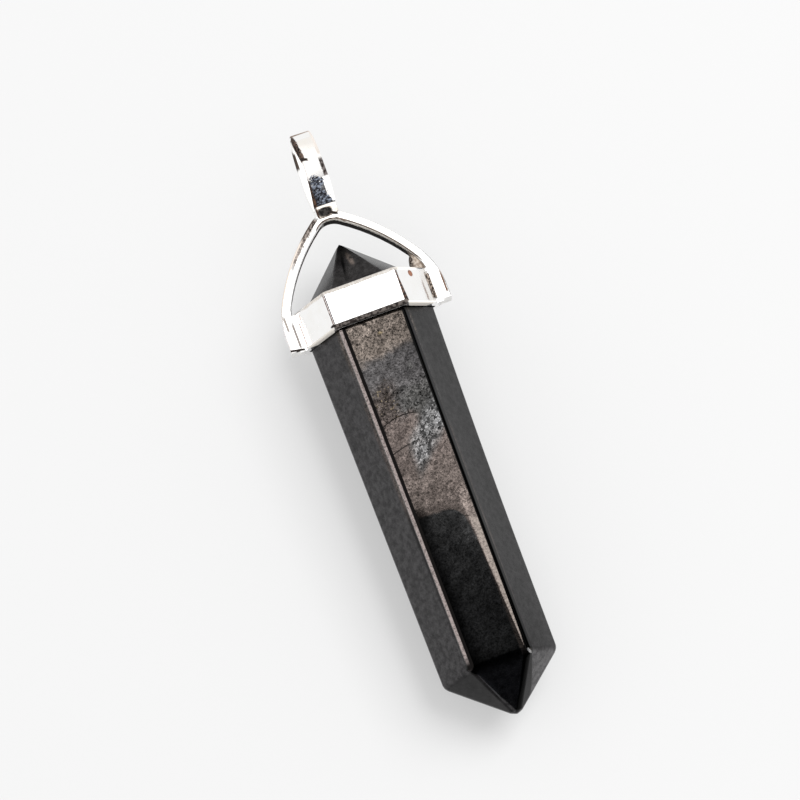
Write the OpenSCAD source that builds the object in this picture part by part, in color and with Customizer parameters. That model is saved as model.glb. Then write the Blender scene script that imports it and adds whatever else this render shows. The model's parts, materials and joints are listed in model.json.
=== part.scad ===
// Pendant: a six-sided polished stone point held in a cast cap with a pointed arch and a loop.
// Millimetres. The pendant lies on its back, its loop toward +Y and its front facet up.

/* [Stone] */
// Length of the stone from point to point
stone_len = 31.9; // [28:0.1:38]
// Width across the corners where the collar holds it
stone_w = 8.18; // [7.9:0.01:8.3]
// Width across the corners at the lower shoulder
stone_w_low = 7.52; // [7:0.01:8.2]
// Length of the upper six-sided point, from its shoulder to its tip
point_len = 3.95; // [3.6:0.05:4.2]
// Length of the lower six-sided point
low_point_len = 3.3; // [3.2:0.05:4]
// Radius of the polished long edges and of the upper corners
edge_r = 0.45; // [0.25:0.05:0.5]
// Radius of the corners at the lower shoulder, which are worn rounder
low_edge_r = 0.5; // [0.3:0.05:0.6]
// Radius of the lower tip, which is worn round
tip_r = 0.45; // [0.25:0.05:0.6]
// Radius of the upper tip
top_tip_r = 0.25; // [0.15:0.05:0.35]
// Sideways offset of the upper tip
tip_shift = -0.13; // [-0.3:0.01:0.3]

/* [Collar] */
// Width across the outer corners
collar_w = 9.6; // [9.4:0.02:10]
// Height of the collar along the stone
collar_h = 2.6; // [2.2:0.05:3]
// Gap between the stone's facets and the collar
stone_gap = 0.06; // [0.04:0.01:0.1]
// How far the stone's upper tip stands above the collar
tip_show = 3.3; // [2.9:0.05:3.3]
// Radius of the collar's outer edges
collar_r = 0.16; // [0.1:0.02:0.24]

/* [Arch] */
// Width over the two legs
arch_w = 10.66; // [10.4:0.02:11]
// Thickness of the band at the crown, seen from the front
band_t = 0.56; // [0.5:0.02:0.7]
// Thickness of the band at the legs
leg_t = 0.76; // [0.7:0.02:0.9]
// Depth of the band from front to back
band_d = 1.6; // [1.2:0.05:1.8]
// Radius of the band's long edges
band_r = 0.18; // [0.1:0.01:0.22]
// Height of the legs' ends above the collar's lower rim
leg_lift = 0.26; // [0.1:0.02:0.4]
// Height of the straight stretch at the foot of each leg
leg_h = 1.06; // [0.8:0.02:1.4]
// Radius of the outside of each side
side_r = 5.3; // [5:0.1:5.6]
// Radius of the outside between the side and the crown
shoulder_r = 13; // [12:0.2:14]
// Sideways lean of the crown
crown_shift = -0.3; // [-0.4:0.02:0.4]

/* [Loop] */
// Height of the loop above the crown of the arch
loop_h = 5.4; // [4.6:0.05:6]
// Depth of the loop from front to back
loop_d = 3.8; // [3.4:0.1:4.2]
// Width of the strap at its foot
strap_w_foot = 1.42; // [1.2:0.02:1.5]
// Width of the strap at the top
strap_w_top = 1.16; // [1:0.02:1.3]
// Thickness of the strap
strap_t = 0.44; // [0.36:0.02:0.5]
// Height of the loop's widest place above the crown
wide_h = 3; // [2.6:0.1:3.2]
// Height above the crown at which the straps turn from their slant
knee_h = 1.6; // [1.4:0.05:1.8]
// Turn of the loop about the pendant's length, in degrees
loop_turn = 5; // [0:1:8]
// Sideways offset of the loop and its foot
loop_shift = -0.14; // [-0.3:0.02:0.3]
// Width of the foot block that stands on the crown
foot_w = 1.5; // [1.4:0.05:1.8]
// Height of the foot block along the pendant
foot_h = 0.84; // [0.8:0.02:1]
// Depth of the foot block from front to back
foot_d = 1.9; // [1.6:0.05:2.2]

/* [Hidden] */

// Heights here are measured along the pendant from the collar's lower rim, toward the loop.
corners = 6;
stone_fn = 24;
small_fn = 12;
corner_steps = 2;
cut_past = 1;
tip_y = collar_h + tip_show;
low_tip_y = tip_y - stone_len;
shoulder_y = tip_y - point_len;
low_shoulder_y = low_tip_y + low_point_len;

// Arch: a straight leg, the side arc, the shoulder arc, then the crown arc to the middle.
side_turn = 30;
shoulder_turn = 54;
side_c = [arch_w / 2 - side_r, leg_h];
shoulder_c = side_c + (side_r - shoulder_r) * [cos(side_turn), sin(side_turn)];
crown_start = shoulder_c + shoulder_r * [cos(shoulder_turn), sin(shoulder_turn)];
crown_r = crown_start.x / cos(shoulder_turn);
crown_c = [0, crown_start.y - crown_r * sin(shoulder_turn)];
crown_y = crown_c.y + crown_r;
arch_step = 5;
leg_bevel = 0.12;

// Loop: two straps rise from the foot block, spread to the loop's depth and meet over the top.
foot_y = crown_y + 0.03;
foot_r = 0.14;
loop_foot_y = crown_y + 0.25;
loop_top_y = crown_y + loop_h;
strap_apart = strap_t / 2 + 0.08;
loop_half_d = (loop_d - strap_t) / 2;
loop_wide_y = crown_y + wide_h;
loop_top_r = loop_top_y - strap_t / 2 - loop_wide_y;
knee_in = 0.14;
knee_pull = 3;
strap_r = 0.09;
rise_steps = 10;
rise_nudge = 0.01;
top_steps = 16;

// The pendant rests on the collar's lower rim at the back and on the stone's lower shoulder.
stone_apothem = (stone_w / 2 - edge_r) * cos(180 / corners) + edge_r;
stone_apothem_low = (stone_w_low / 2 - low_edge_r) * cos(180 / corners) + low_edge_r;
hole_w = 2 * (stone_apothem + stone_gap) / cos(180 / corners);
collar_apothem = (collar_w / 2 - collar_r) * cos(180 / corners) + collar_r;
rest_run = collar_r - low_shoulder_y;
rest_tilt = atan((collar_apothem - stone_apothem_low) / rest_run);
back_end_y = (low_tip_y + tip_r) * cos(rest_tilt) - tip_r;
front_end_y = loop_top_y * cos(rest_tilt);
mid_y = (back_end_y + front_end_y) / 2;
lift = (collar_apothem - collar_r) * cos(rest_tilt) + collar_r * (1 - sin(rest_tilt));

// Points of a rectangle with rounded corners, round its middle, on the first two axes.
function round_rect(w, d, r, steps) = [
    for (k = [0 : 3], i = [0 : steps])
        let (
            a = 90 * (k + i / steps),
            side_x = k == 0 || k == 3 ? 1 : -1,
            side_y = k < 2 ? 1 : -1
        )
        [side_x * (w / 2 - r) + r * cos(a), side_y * (d / 2 - r) + r * sin(a)]
];

// Triangles that join rings of n points, and close both ends.
function tube_faces(rings, n) = concat(
    [
        for (j = [0 : rings - 2], i = [0 : n - 1], half = [0, 1])
            let (
                here = j * n + i,
                next = j * n + (i + 1) % n
            )
            half == 0 ? [here, here + n, next] : [here + n, next + n, next]
    ],
    [[for (i = [0 : n - 1]) i]],
    [[for (i = [n - 1 : -1 : 0]) (rings - 1) * n + i]]
);

// Thickness of the band where its outside faces an angle, thicker below the side's end.
function band_at(a) = band_t + (leg_t - band_t) * max(0, 1 - a / side_turn);

// How far the lean has moved the band at a height.
function lean(y) = crown_shift * pow(max(0, y) / crown_y, 2);

// Rows along one arc of the outer edge: x, y, outward angle, shrink.
function arc_rows(c, r, from, to) =
    let (steps = ceil((to - from) / arch_step))
    [
        for (i = [1 : steps])
            let (a = from + (to - from) * i / steps)
            [c.x + r * cos(a), c.y + r * sin(a), a, 0]
    ];

// Outer edge of the arch, the right half from the leg to the crown and then the left half.
half_arch = concat(
    [
        [arch_w / 2, leg_lift, 0, leg_bevel],
        [arch_w / 2, leg_lift + leg_bevel, 0, 0],
        [arch_w / 2, leg_h, 0, 0]
    ],
    arc_rows(side_c, side_r, 0, side_turn),
    arc_rows(shoulder_c, shoulder_r, side_turn, shoulder_turn),
    arc_rows(crown_c, crown_r, shoulder_turn, 90)
);
whole_arch = concat(
    half_arch,
    [for (i = [len(half_arch) - 2 : -1 : 0]) let (s = half_arch[i]) [-s.x, s.y, 180 - s[2], s[3]]]
);

// Width of the strap at a height, narrower toward the top.
function strap_width(y) =
    strap_w_foot + (strap_w_top - strap_w_foot) * (y - loop_foot_y) / (loop_wide_y - loop_foot_y);

// Middle line of the front strap seen from the side: z, y. It bends at the knee, at the middle of 0 to 1.
function strap_at(u) =
    let (
        low = (1 - u) * (1 - u),
        knee = 2 * knee_pull * u * (1 - u),
        high = u * u,
        low_p = [strap_apart, loop_foot_y],
        knee_p = [loop_half_d - knee_in, crown_y + knee_h],
        high_p = [loop_half_d, loop_wide_y]
    )
    (low * low_p + knee * knee_p + high * high_p) / (low + knee + high);

// The loop's rows, front strap first: z, y, outward angle, width.
front_strap = [
    for (i = [0 : rise_steps])
        let (
            u = i / rise_steps,
            p = strap_at(u),
            way = strap_at(u + rise_nudge) - strap_at(u - rise_nudge)
        )
        [p.x, p.y, atan2(-way.x, way.y), strap_width(p.y)]
];
loop_top = [
    for (i = [1 : top_steps - 1])
        let (
            a = 180 * i / top_steps,
            facing = atan2(sin(a) / loop_top_r, cos(a) / loop_half_d)
        )
        [loop_half_d * cos(a), loop_wide_y + loop_top_r * sin(a), facing, strap_w_top]
];
back_strap = [for (i = [rise_steps : -1 : 0]) let (s = front_strap[i]) [-s[0], s[1], 180 - s[2], s[3]]];

// Puts a part that was drawn along the pendant into its place on the surface.
module lay() {
    translate([0, -mid_y, lift])
        rotate([rest_tilt, 0, 0])
            children();
}

// A ball whose pole points along the pendant.
module ball(r, fn) {
    rotate([90, 0, 0])
        sphere(r, $fn = fn);
}

module ring_of_balls(w, y, r, fn) {
    for (i = [0 : corners - 1])
        rotate([0, 360 * i / corners, 0])
            translate([w / 2 - r, y, 0])
                ball(r, fn);
}

module collar() {
    difference() {
        hull() {
            ring_of_balls(collar_w, collar_r, collar_r, small_fn);
            ring_of_balls(collar_w, collar_h - collar_r, collar_r, small_fn);
        }
        rotate([-90, 0, 0])
            translate([0, 0, -cut_past])
                cylinder(h = collar_h + 2 * cut_past, r = hole_w / 2, $fn = corners);
    }
}

module arch() {
    points = [
        for (s = whole_arch)
            let (
                t = band_at(min(s[2], 180 - s[2])),
                n = [cos(s[2]), sin(s[2])],
                mid = [s.x + lean(s.y), s.y] - n * t / 2
            )
            for (q = round_rect(t - 2 * s[3], band_d - 2 * s[3], band_r, corner_steps))
                [mid.x + n.x * q.x, mid.y + n.y * q.x, -q.y]
    ];
    polyhedron(points = points, faces = tube_faces(len(whole_arch), 4 * (corner_steps + 1)), convexity = 4);
}

module foot() {
    translate([0, foot_y, 0])
        hull()
            for (x = [-1, 1], y = [-1, 1], z = [-1, 1])
                translate([x * (foot_w / 2 - foot_r), y * (foot_h / 2 - foot_r), z * (foot_d / 2 - foot_r)])
                    ball(foot_r, small_fn);
}

module loop() {
    rows = concat(front_strap, loop_top, back_strap);
    points = [
        for (s = rows)
            let (n = [cos(s[2]), sin(s[2])])
            for (q = round_rect(strap_t, s[3], strap_r, corner_steps))
                [q.y, s[1] + n.y * q.x, s[0] + n.x * q.x]
    ];
    polyhedron(points = points, faces = tube_faces(len(rows), 4 * (corner_steps + 1)), convexity = 4);
}

module cap() {
    color("silver")
        lay() {
            collar();
            arch();
            translate([loop_shift, 0, 0])
                rotate([0, loop_turn, 0]) {
                    foot();
                    loop();
                }
        }
}

module stone() {
    color([0.13, 0.12, 0.12])
        lay()
            hull() {
                translate([tip_shift, tip_y - top_tip_r, 0])
                    ball(top_tip_r, stone_fn);
                ring_of_balls(stone_w, shoulder_y, edge_r, stone_fn);
                ring_of_balls(stone_w_low, low_shoulder_y, low_edge_r, stone_fn);
                translate([0, low_tip_y + tip_r, 0])
                    ball(tip_r, stone_fn);
            }
}

stone();
cap();
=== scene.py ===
import json
import math

import bmesh
import bpy
from mathutils import Matrix, Vector


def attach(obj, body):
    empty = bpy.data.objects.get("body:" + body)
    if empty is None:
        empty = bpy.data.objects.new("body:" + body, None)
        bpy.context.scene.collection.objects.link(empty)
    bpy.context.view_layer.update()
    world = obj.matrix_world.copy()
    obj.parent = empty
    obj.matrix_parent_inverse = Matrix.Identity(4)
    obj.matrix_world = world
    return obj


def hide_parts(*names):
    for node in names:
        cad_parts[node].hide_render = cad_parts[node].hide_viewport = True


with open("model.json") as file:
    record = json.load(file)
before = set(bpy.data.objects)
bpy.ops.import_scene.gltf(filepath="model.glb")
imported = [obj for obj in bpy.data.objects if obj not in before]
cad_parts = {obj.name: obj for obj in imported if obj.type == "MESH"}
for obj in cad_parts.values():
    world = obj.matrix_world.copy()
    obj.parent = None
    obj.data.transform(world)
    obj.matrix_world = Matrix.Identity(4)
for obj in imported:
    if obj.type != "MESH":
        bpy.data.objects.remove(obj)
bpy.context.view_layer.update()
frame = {"nodes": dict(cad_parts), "record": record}
print("frame loaded:", sorted(frame["nodes"]))

# The pendant is modelled upright along Y in millimetres, from the collar's lower rim, and then laid down.
mm = 0.001
sides = 6
halfSide = math.pi / sides
collarApothem = 4.17836     # middle to the flat at the collar's back
collarHeight = 2.6

# How the pendant lies comes from the frame: the flat at the collar's back gives its tilt and its place.
pad = {m["name"]: m for m in frame["record"]["mounts"]}["collar_back"]
restTilt = math.atan2(pad["axis"][1], -pad["axis"][2])
restTurn = Matrix.Rotation(restTilt, 4, "X")
padPlace = Vector((0, collarHeight / 2, -collarApothem)) * mm
layPlace = Vector(pad["pos_m"]) - restTurn @ padPlace
lay = Matrix.Translation(layPlace) @ restTurn @ Matrix.Scale(mm, 4)


# Small mesh helpers

def grind(bm, spot, facing):
    # takes off all that lies beyond a plane, and closes the cut
    geom = bm.verts[:] + bm.edges[:] + bm.faces[:]
    cut = bmesh.ops.bisect_plane(bm, geom=geom, dist=1e-6, plane_co=spot, plane_no=facing, clear_outer=True)
    rim = [e for e in cut["geom_cut"] if isinstance(e, bmesh.types.BMEdge)]
    return bmesh.ops.holes_fill(bm, edges=rim, sides=0)["faces"]


def slices(bm, along, spots):
    for spot in spots:
        geom = bm.verts[:] + bm.edges[:] + bm.faces[:]
        bmesh.ops.bisect_plane(bm, geom=geom, dist=1e-5, plane_co=along * spot, plane_no=along)


def meshObject(name, bm):
    mesh = bpy.data.meshes.new(name)
    bm.to_mesh(mesh)
    bm.free()
    piece = bpy.data.objects.new(name, mesh)
    bpy.context.scene.collection.objects.link(piece)
    return piece


def applyModifiers(piece):
    bpy.context.view_layer.update()
    shaped = piece.evaluated_get(bpy.context.evaluated_depsgraph_get())
    mesh = bpy.data.meshes.new_from_object(shaped)
    piece.modifiers.clear()
    piece.data = mesh


def smoothFaces(mesh):
    mesh.polygons.foreach_set("use_smooth", [True] * len(mesh.polygons))
    mesh.update()


# Stone

stoneSize = {
    "apothem": 3.6023,      # middle to facet at the upper shoulder
    "apothemLow": 3.3232,   # and at the lower shoulder
    "shoulder": 2.124,
    "lowShoulder": -22.911,
    "tip": (-0.13, 6.02, 0.0),
    "lowTip": (0.0, -26.178, 0.0),
    "leftRidge": 0.12,      # how far in from the sharp edge each rounding starts
    "rightRidge": 0.24,
    "ridge": 0.28,
    "lowEdge": 0.24,
    "lowFront": 0.42,
    "topEdge": 0.07,
    "roundSteps": 8,
    "facetArea": 3.0,       # anything this large, in square millimetres, is a facet
    "leftFlat": 0.26,       # how far in the narrow flat on the left ridge starts
    "marginTop": (1.30, -14.0),     # left edge of the polish along the front facet's right margin
    "marginFoot": (1.64, -21.5),
    "marginTilt": 3.0,
    "lengthCuts": 0.4,      # how far apart the cuts are that give the facets something to bend with
    "widthCuts": 0.27,
    "hollow": 0.10,         # the right side is ground a little hollow
    "bulge": 400.0,         # radius that the front facet bulges on, along its length
}


def cutStone():
    # two six-sided rings and two tips, wrapped in flat facets
    s = stoneSize
    bm = bmesh.new()
    upright = Matrix.Rotation(-math.pi / 2, 4, "X")
    for apothem, height in ((s["apothem"], s["shoulder"]), (s["apothemLow"], s["lowShoulder"])):
        place = Matrix.Translation((0, height, 0)) @ upright @ Matrix.Rotation(math.pi / 2, 4, "Z")
        bmesh.ops.create_circle(bm, segments=sides, radius=apothem / math.cos(halfSide), matrix=place)
    for tip in (s["tip"], s["lowTip"]):
        bmesh.ops.create_vert(bm, co=tip)
    bmesh.ops.convex_hull(bm, input=bm.verts[:])
    bmesh.ops.dissolve_limit(bm, angle_limit=math.radians(1), verts=bm.verts[:], edges=bm.edges[:])
    return bm


def soften(piece, softness, segments):
    # rounds each edge by its own amount, which softness gives in millimetres
    bm = bmesh.new()
    bm.from_mesh(piece.data)
    widest = max(softness(edge) for edge in bm.edges)
    weight = bm.edges.layers.float.new("bevel_weight_edge")
    for edge in bm.edges:
        edge[weight] = softness(edge) / widest
    bm.to_mesh(piece.data)
    bm.free()
    soft = piece.modifiers.new("soften", "BEVEL")
    soft.limit_method = "WEIGHT"
    soft.width = widest
    soft.segments = segments
    soft.profile = 0.5
    soft.use_clamp_overlap = False
    applyModifiers(piece)


def isLeftRidge(mid, edge):
    along = abs(edge.verts[0].co.y - edge.verts[1].co.y)
    return along > 10 and mid.z > 2 and mid.x < 0


def rounding(edge):
    s = stoneSize
    mid = (edge.verts[0].co + edge.verts[1].co) / 2
    if len(edge.link_faces) != 2 or edge.calc_face_angle() < math.radians(8):
        return 0.0
    if isLeftRidge(mid, edge):
        return s["leftRidge"]
    if mid.y > s["shoulder"] - 0.3:
        return s["topEdge"] if abs(mid.z) > 0.5 else s["ridge"]
    if mid.y < s["lowShoulder"] + 0.3:
        return s["lowFront"] if mid.z > 2.5 and abs(mid.x) < 0.5 else s["lowEdge"]
    return s["rightRidge"] if mid.z > 1 else s["ridge"]


def grindMargin(bm):
    # a second, slightly tilted polish along the front facet's right margin
    s = stoneSize
    line = []
    for x, y in (s["marginTop"], s["marginFoot"]):
        share = (y - s["lowShoulder"]) / (s["shoulder"] - s["lowShoulder"])
        line.append(Vector((x, y, s["apothemLow"] + (s["apothem"] - s["apothemLow"]) * share)))
    way = (line[0] - line[1]).normalized()
    flat = Vector((1, 0, 0)).cross(way).normalized()
    return grind(bm, line[0], Matrix.Rotation(math.radians(s["marginTilt"]), 3, way) @ flat)


def grindLeftRidge(bm):
    # the narrow flat along the whole left ridge
    s = stoneSize
    ends = ((s["apothem"], s["shoulder"]), (s["apothemLow"], s["lowShoulder"]))
    top, foot = (Vector((-apothem * math.tan(halfSide), up, apothem)) for apothem, up in ends)
    way = (top - foot).normalized()
    outward = Vector((-math.sin(halfSide), 0, math.cos(halfSide)))
    flat = (outward - way * outward.dot(way)).normalized()
    return grind(bm, top - outward * s["leftFlat"] / 2, flat)


def facetNormals(bm, facet):
    # flat facets keep their own normal up to their edges, and the roundings run from one to the next
    normals = []
    for face in bm.faces:
        for loop in face.loops:
            around = loop.vert.link_faces
            if face[facet]:
                like = [f for f in around if f[facet] == face[facet]]
            else:
                like = [f for f in around if f[facet]] or around
            normals.append(sum((f.normal * f.calc_area() for f in like), Vector()).normalized())
    return normals


def makeStone():
    s = stoneSize
    piece = meshObject("polished_point", cutStone())
    soften(piece, rounding, s["roundSteps"])

    bm = bmesh.new()
    bm.from_mesh(piece.data)
    facet = bm.faces.layers.int.new("facet")
    large = [f for f in bm.faces if f.calc_area() > s["facetArea"]]
    for number, face in enumerate(large, 1):
        face[facet] = number
    for number, flatten in enumerate((grindMargin, grindLeftRidge), len(large) + 1):
        for face in flatten(bm):
            face[facet] = number
    slices(bm, Vector((0, 1, 0)), [s["lowShoulder"] + s["lengthCuts"] * k for k in range(-7, 71)])
    slices(bm, Vector((1, 0, 0)), [s["widthCuts"] * (k - 15) for k in range(31)])
    for vert in bm.verts:
        shapeStone(vert)
    bmesh.ops.triangulate(bm, faces=[f for f in bm.faces if len(f.verts) > 4])
    bmesh.ops.transform(bm, matrix=lay, verts=bm.verts[:])
    bmesh.ops.recalc_face_normals(bm, faces=bm.faces[:])
    bm.normal_update()
    normals = facetNormals(bm, facet)
    bm.to_mesh(piece.data)
    bm.free()
    smoothFaces(piece.data)
    piece.data.normals_split_custom_set(normals)
    return piece


def shapeStone(vert):
    s = stoneSize
    co = vert.co
    along = (co.y - s["lowShoulder"]) / (s["shoulder"] - s["lowShoulder"])
    inside = max(0.0, min(1.0, along))
    if co.x > 0:
        # hollow between the shoulders
        hollow = s["hollow"] * math.sin(math.pi * inside) ** 1.2
        co.x -= hollow * min(1.0, co.x / 3.0)
    if co.z > 0:
        middle = (s["shoulder"] + s["lowShoulder"]) / 2
        sag = (max(s["lowShoulder"], min(s["shoulder"], co.y)) - middle) ** 2 / (2 * s["bulge"])
        co.z -= sag * max(0.0, min(1.0, (co.z - 1.2) / 2.0))


# Cap

capSize = {
    "hole": 3.6623,         # middle to facet inside the collar
    "collarRidge": 0.12,
    "collarRim": 0.2,
    "lowRim": 0.12,
    "lowLift": 0.13,        # the lower rim is dressed back a little
    "archWidth": 10.66,
    "bandThick": 0.56,
    "legThick": 0.76,
    "bandDeep": 1.6,
    "legFoot": 0.26,
    "legTop": 1.06,
    "sideRadius": 5.3,
    "shoulderRadius": 13.0,
    "sideTurn": 30.0,
    "shoulderTurn": 54.0,
    "lean": -0.3,           # how far the crown leans to the left
    "bandRound": 0.07,
    "stepTurn": 3.0,        # degrees between two stations round the arch
    "loopHeight": 5.4,
    "loopDeep": 3.8,
    "strapFoot": 1.42,
    "strapTop": 1.26,
    "strapThick": 0.44,
    "strapStart": 0.25,     # above the crown
    "strapApart": 0.08,
    "widePlace": 3.0,
    "kneePlace": 1.6,
    "kneeIn": 0.14,
    "kneePull": 3.0,
    "sideSteps": 18,
    "topSteps": 24,
    "strapRound": 0.08,
    "loopTurn": 5.0,
    "loopLean": -1.2,
    "loopShift": -0.08,
    "footWidth": 1.42,
    "footShift": -0.16,
    "footHeight": 0.84,
    "footDeep": 1.9,
    "footUp": 0.03,
    "footTaper": 0.96,
    "footRound": 0.2,
    "beadSize": (0.44, 0.98, 0.55),         # run metal in the window's right corner
    "beadPlace": (3.98, 2.84, 0.06),
    "runSize": (0.46, 2.35, 0.61),          # and between each leg and the collar
    "runPlace": (4.53, 1.3, 0.49),
    "crease": 35.0,         # faces that turn by less than this shade as one surface
}


def sweepBar(stations):
    # a bar with a square section that follows the stations, which are matrices
    bm = bmesh.new()
    bmesh.ops.create_grid(bm, x_segments=1, y_segments=1, size=0.5, matrix=stations[0])
    ring = bm.edges[:]
    for before, after in zip(stations, stations[1:]):
        grown = bmesh.ops.extrude_edge_only(bm, edges=ring)["geom"]
        moved = [g for g in grown if isinstance(g, bmesh.types.BMVert)]
        ring = [g for g in grown if isinstance(g, bmesh.types.BMEdge) and all(v in moved for v in g.verts)]
        bmesh.ops.transform(bm, matrix=after @ before.inverted(), verts=moved)
    bmesh.ops.holes_fill(bm, edges=ring, sides=0)
    bmesh.ops.recalc_face_normals(bm, faces=bm.faces[:])
    return bm


def longEdges(bm, stations):
    # the bar's four long edges, without the rings round it
    ends = [m.translation for m in stations]
    picked = []
    for edge in bm.edges:
        a, b = (v.co for v in edge.verts)
        nearA = min(range(len(ends)), key=lambda i: (ends[i] - a).length)
        nearB = min(range(len(ends)), key=lambda i: (ends[i] - b).length)
        if nearA != nearB:
            picked.append(edge)
    return picked


def station(place, out, thick, deep, across):
    # turns the unit square so that its X is the thickness along out and its Y the depth along across
    ahead = out.cross(across).normalized()
    return Matrix((
        (out.x * thick, across.x * deep, ahead.x, place.x),
        (out.y * thick, across.y * deep, ahead.y, place.y),
        (out.z * thick, across.z * deep, ahead.z, place.z),
        (0, 0, 0, 1),
    ))


def archRows():
    # x, y and outward angle of the arch's outer edge, from the right leg to the crown
    c = capSize
    rows = [(c["archWidth"] / 2, c["legFoot"], 0.0), (c["archWidth"] / 2, c["legTop"], 0.0)]
    centre = Vector((c["archWidth"] / 2 - c["sideRadius"], c["legTop"]))
    arcs = []
    sideEnd = math.radians(c["sideTurn"])
    shoulderEnd = math.radians(c["shoulderTurn"])
    arcs.append((centre, c["sideRadius"], 0.0, sideEnd))
    reach = Vector((math.cos(sideEnd), math.sin(sideEnd)))
    centre = centre + reach * (c["sideRadius"] - c["shoulderRadius"])
    arcs.append((centre, c["shoulderRadius"], sideEnd, shoulderEnd))
    start = centre + Vector((math.cos(shoulderEnd), math.sin(shoulderEnd))) * c["shoulderRadius"]
    crownRadius = start.x / math.cos(shoulderEnd)
    crown = Vector((0, start.y - crownRadius * math.sin(shoulderEnd)))
    arcs.append((crown, crownRadius, shoulderEnd, math.pi / 2))
    for middle, radius, first, last in arcs:
        steps = max(2, round(math.degrees(last - first) / c["stepTurn"]))
        for k in range(1, steps + 1):
            a = first + (last - first) * k / steps
            rows.append((middle.x + radius * math.cos(a), middle.y + radius * math.sin(a), a))
    return rows, crown.y + crownRadius


def makeArch():
    c = capSize
    half, crownY = archRows()
    rows = half + [(-x, y, math.pi - a) for x, y, a in reversed(half[:-1])]
    stations = []
    for x, y, a in rows:
        turned = math.degrees(min(a, math.pi - a))
        thick = c["bandThick"] + (c["legThick"] - c["bandThick"]) * max(0, 1 - turned / c["sideTurn"])
        out = Vector((math.cos(a), math.sin(a), 0))
        place = Vector((x + c["lean"] * (y / crownY) ** 2, y, 0)) - out * thick / 2
        stations.append(station(place, out, thick, c["bandDeep"], Vector((0, 0, 1))))
    bm = sweepBar(stations)
    edges = longEdges(bm, stations)
    bmesh.ops.bevel(bm, geom=edges, offset=c["bandRound"], offset_type="OFFSET", affect="EDGES",
                    segments=4, profile=0.5, material=-1)
    return bm, crownY


def makeCollar():
    # a six-sided ring with softened corners, drawn round the collar's section
    c = capSize
    outer, hole, height = collarApothem, c["hole"], collarHeight
    rim, lowRim, lift = c["collarRim"], c["lowRim"], c["lowLift"]
    bm = bmesh.new()
    upright = Matrix.Rotation(math.pi / 2, 4, "Y") @ Matrix.Rotation(math.pi / 2, 4, "X")
    bmesh.ops.create_circle(bm, cap_ends=True, segments=sides, radius=outer / math.cos(halfSide),
                            matrix=upright)
    bmesh.ops.bevel(bm, geom=bm.verts[:], offset=c["collarRidge"], offset_type="OFFSET", affect="VERTICES",
                    segments=4, profile=0.5, material=-1)
    bmesh.ops.delete(bm, geom=bm.faces[:], context="FACES_ONLY")
    turns = [math.pi / 2 * k / 5 for k in range(6)]
    rows = [(hole, lift)]
    rows += [(outer - lowRim * (1 - math.sin(a)), lift + lowRim * (1 - math.cos(a))) for a in turns]
    rows += [(outer - rim * (1 - math.cos(a)), height - rim * (1 - math.sin(a))) for a in turns]
    rows += [(hole, height)]
    first = ring = bm.edges[:]
    moved = bm.verts[:]
    at, low = outer, 0.0
    for number, (apothem, up) in enumerate(rows):
        if number:
            grown = bmesh.ops.extrude_edge_only(bm, edges=ring)["geom"]
            moved = [g for g in grown if isinstance(g, bmesh.types.BMVert)]
            ring = [g for g in grown if isinstance(g, bmesh.types.BMEdge)
                    and all(v in moved for v in g.verts)]
        bmesh.ops.scale(bm, vec=(apothem / at, 1, apothem / at), verts=moved)
        bmesh.ops.translate(bm, vec=(0, up - low, 0), verts=moved)
        at, low = apothem, up
    bmesh.ops.bridge_loops(bm, edges=first + ring)
    bmesh.ops.recalc_face_normals(bm, faces=bm.faces[:])
    return bm


def makeLoop(crownY):
    c = capSize
    halfDeep = (c["loopDeep"] - c["strapThick"]) / 2
    footY = crownY + c["strapStart"]
    wideY = crownY + c["widePlace"]
    topRadius = crownY + c["loopHeight"] - c["strapThick"] / 2 - wideY
    points = (Vector((c["strapThick"] / 2 + c["strapApart"], footY)),
              Vector((halfDeep - c["kneeIn"], crownY + c["kneePlace"])),
              Vector((halfDeep, wideY)))

    def strapAt(u):
        # a curve from the foot to the widest place, pulled toward the knee between them
        parts = ((1 - u) ** 2, 2 * c["kneePull"] * u * (1 - u), u * u)
        return sum((p * w for p, w in zip(points, parts)), Vector((0, 0))) / sum(parts)

    rows = []
    for k in range(c["sideSteps"] + 1):
        u = k / c["sideSteps"]
        p = strapAt(u)
        way = strapAt(u + 0.01) - strapAt(u - 0.01)
        share = (p.y - footY) / (wideY - footY)
        width = c["strapFoot"] + (c["strapTop"] - c["strapFoot"]) * share
        rows.append((p.x, p.y, math.atan2(-way.x, way.y), width))
    back = [(-z, y, math.pi - a, w) for z, y, a, w in reversed(rows)]
    for k in range(1, c["topSteps"]):
        a = math.pi * k / c["topSteps"]
        facing = math.atan2(math.sin(a) / topRadius, math.cos(a) / halfDeep)
        rows.append((halfDeep * math.cos(a), wideY + topRadius * math.sin(a), facing, c["strapTop"]))
    rows += back
    stations = []
    for z, y, a, width in rows:
        out = Vector((0, math.sin(a), math.cos(a)))
        stations.append(station(Vector((0, y, z)), out, c["strapThick"], width, Vector((1, 0, 0))))
    bm = sweepBar(stations)
    bmesh.ops.bevel(bm, geom=longEdges(bm, stations), offset=c["strapRound"], offset_type="OFFSET",
                    affect="EDGES", segments=3, profile=0.5, material=-1)
    return bm


def makeFoot(crownY):
    c = capSize
    bm = bmesh.new()
    bmesh.ops.create_cube(bm, size=1)
    bmesh.ops.scale(bm, vec=(c["footWidth"], c["footHeight"], c["footDeep"]), verts=bm.verts[:])
    # front and back lean in toward the crown
    for vert in bm.verts:
        if vert.co.y < 0:
            vert.co.z *= c["footTaper"]
    bmesh.ops.bevel(bm, geom=bm.edges[:], offset=c["footRound"], offset_type="OFFSET", affect="EDGES",
                    segments=4, profile=0.5, material=-1)
    bmesh.ops.translate(bm, verts=bm.verts[:], vec=(0, crownY + c["footUp"], 0))
    return bm


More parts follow.
